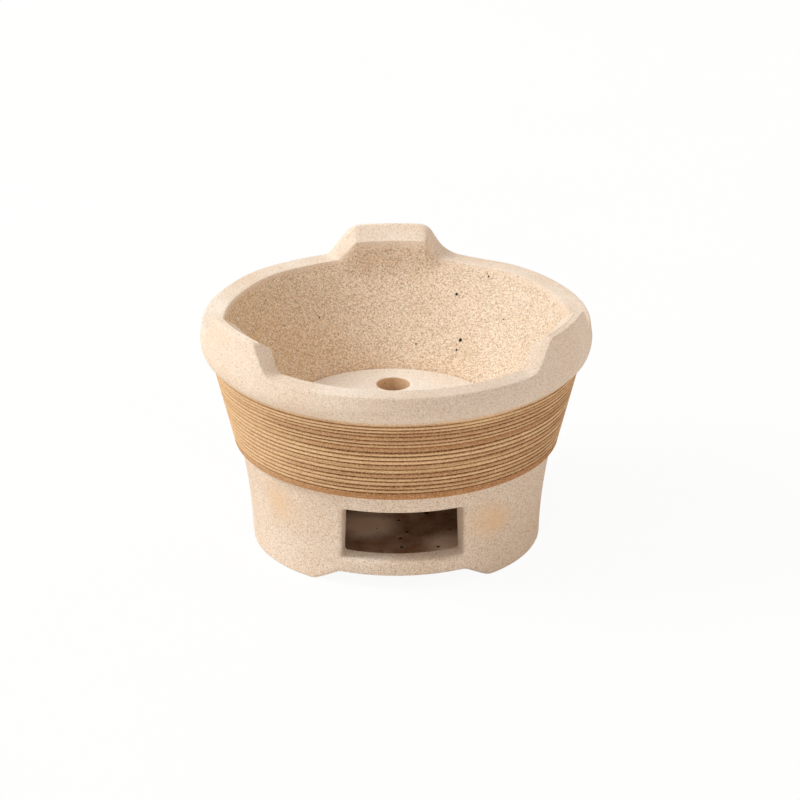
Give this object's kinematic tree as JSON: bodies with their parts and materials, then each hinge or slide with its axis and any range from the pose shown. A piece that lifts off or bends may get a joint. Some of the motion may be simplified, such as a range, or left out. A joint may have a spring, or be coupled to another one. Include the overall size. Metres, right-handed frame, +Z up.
{
  "type": "charcoal brazier",
  "caption": "Small fired-clay charcoal stove: flared body with a combed brown band, raised pot lugs on the rim, a draught mouth in front and a loose perforated grate plate.",
  "frame": {"origin": "on the floor, under the middle of the stove", "axes": "+Z up, +Y towards the back lug, -Y out of the draught mouth, +X to the right seen from the mouth"},
  "size_m": [0.178, 0.178, 0.1173],
  "materials": {
    "fired_clay": "unglazed, matt, sandy and speckled; the combed band is stained brown",
    "grate_clay": "unglazed, matt and sandy"
  },
  "bodies": {
    "stove": {"stove_body": "fired_clay"},
    "grate": {"grate_plate": "grate_clay"}
  },
  "joints": [
    {"name": "grate_lift", "type": "slide", "parent": "stove", "child": "grate", "axis": [0, 0, 1], "range_m": [0, 0.075]}
  ]
}
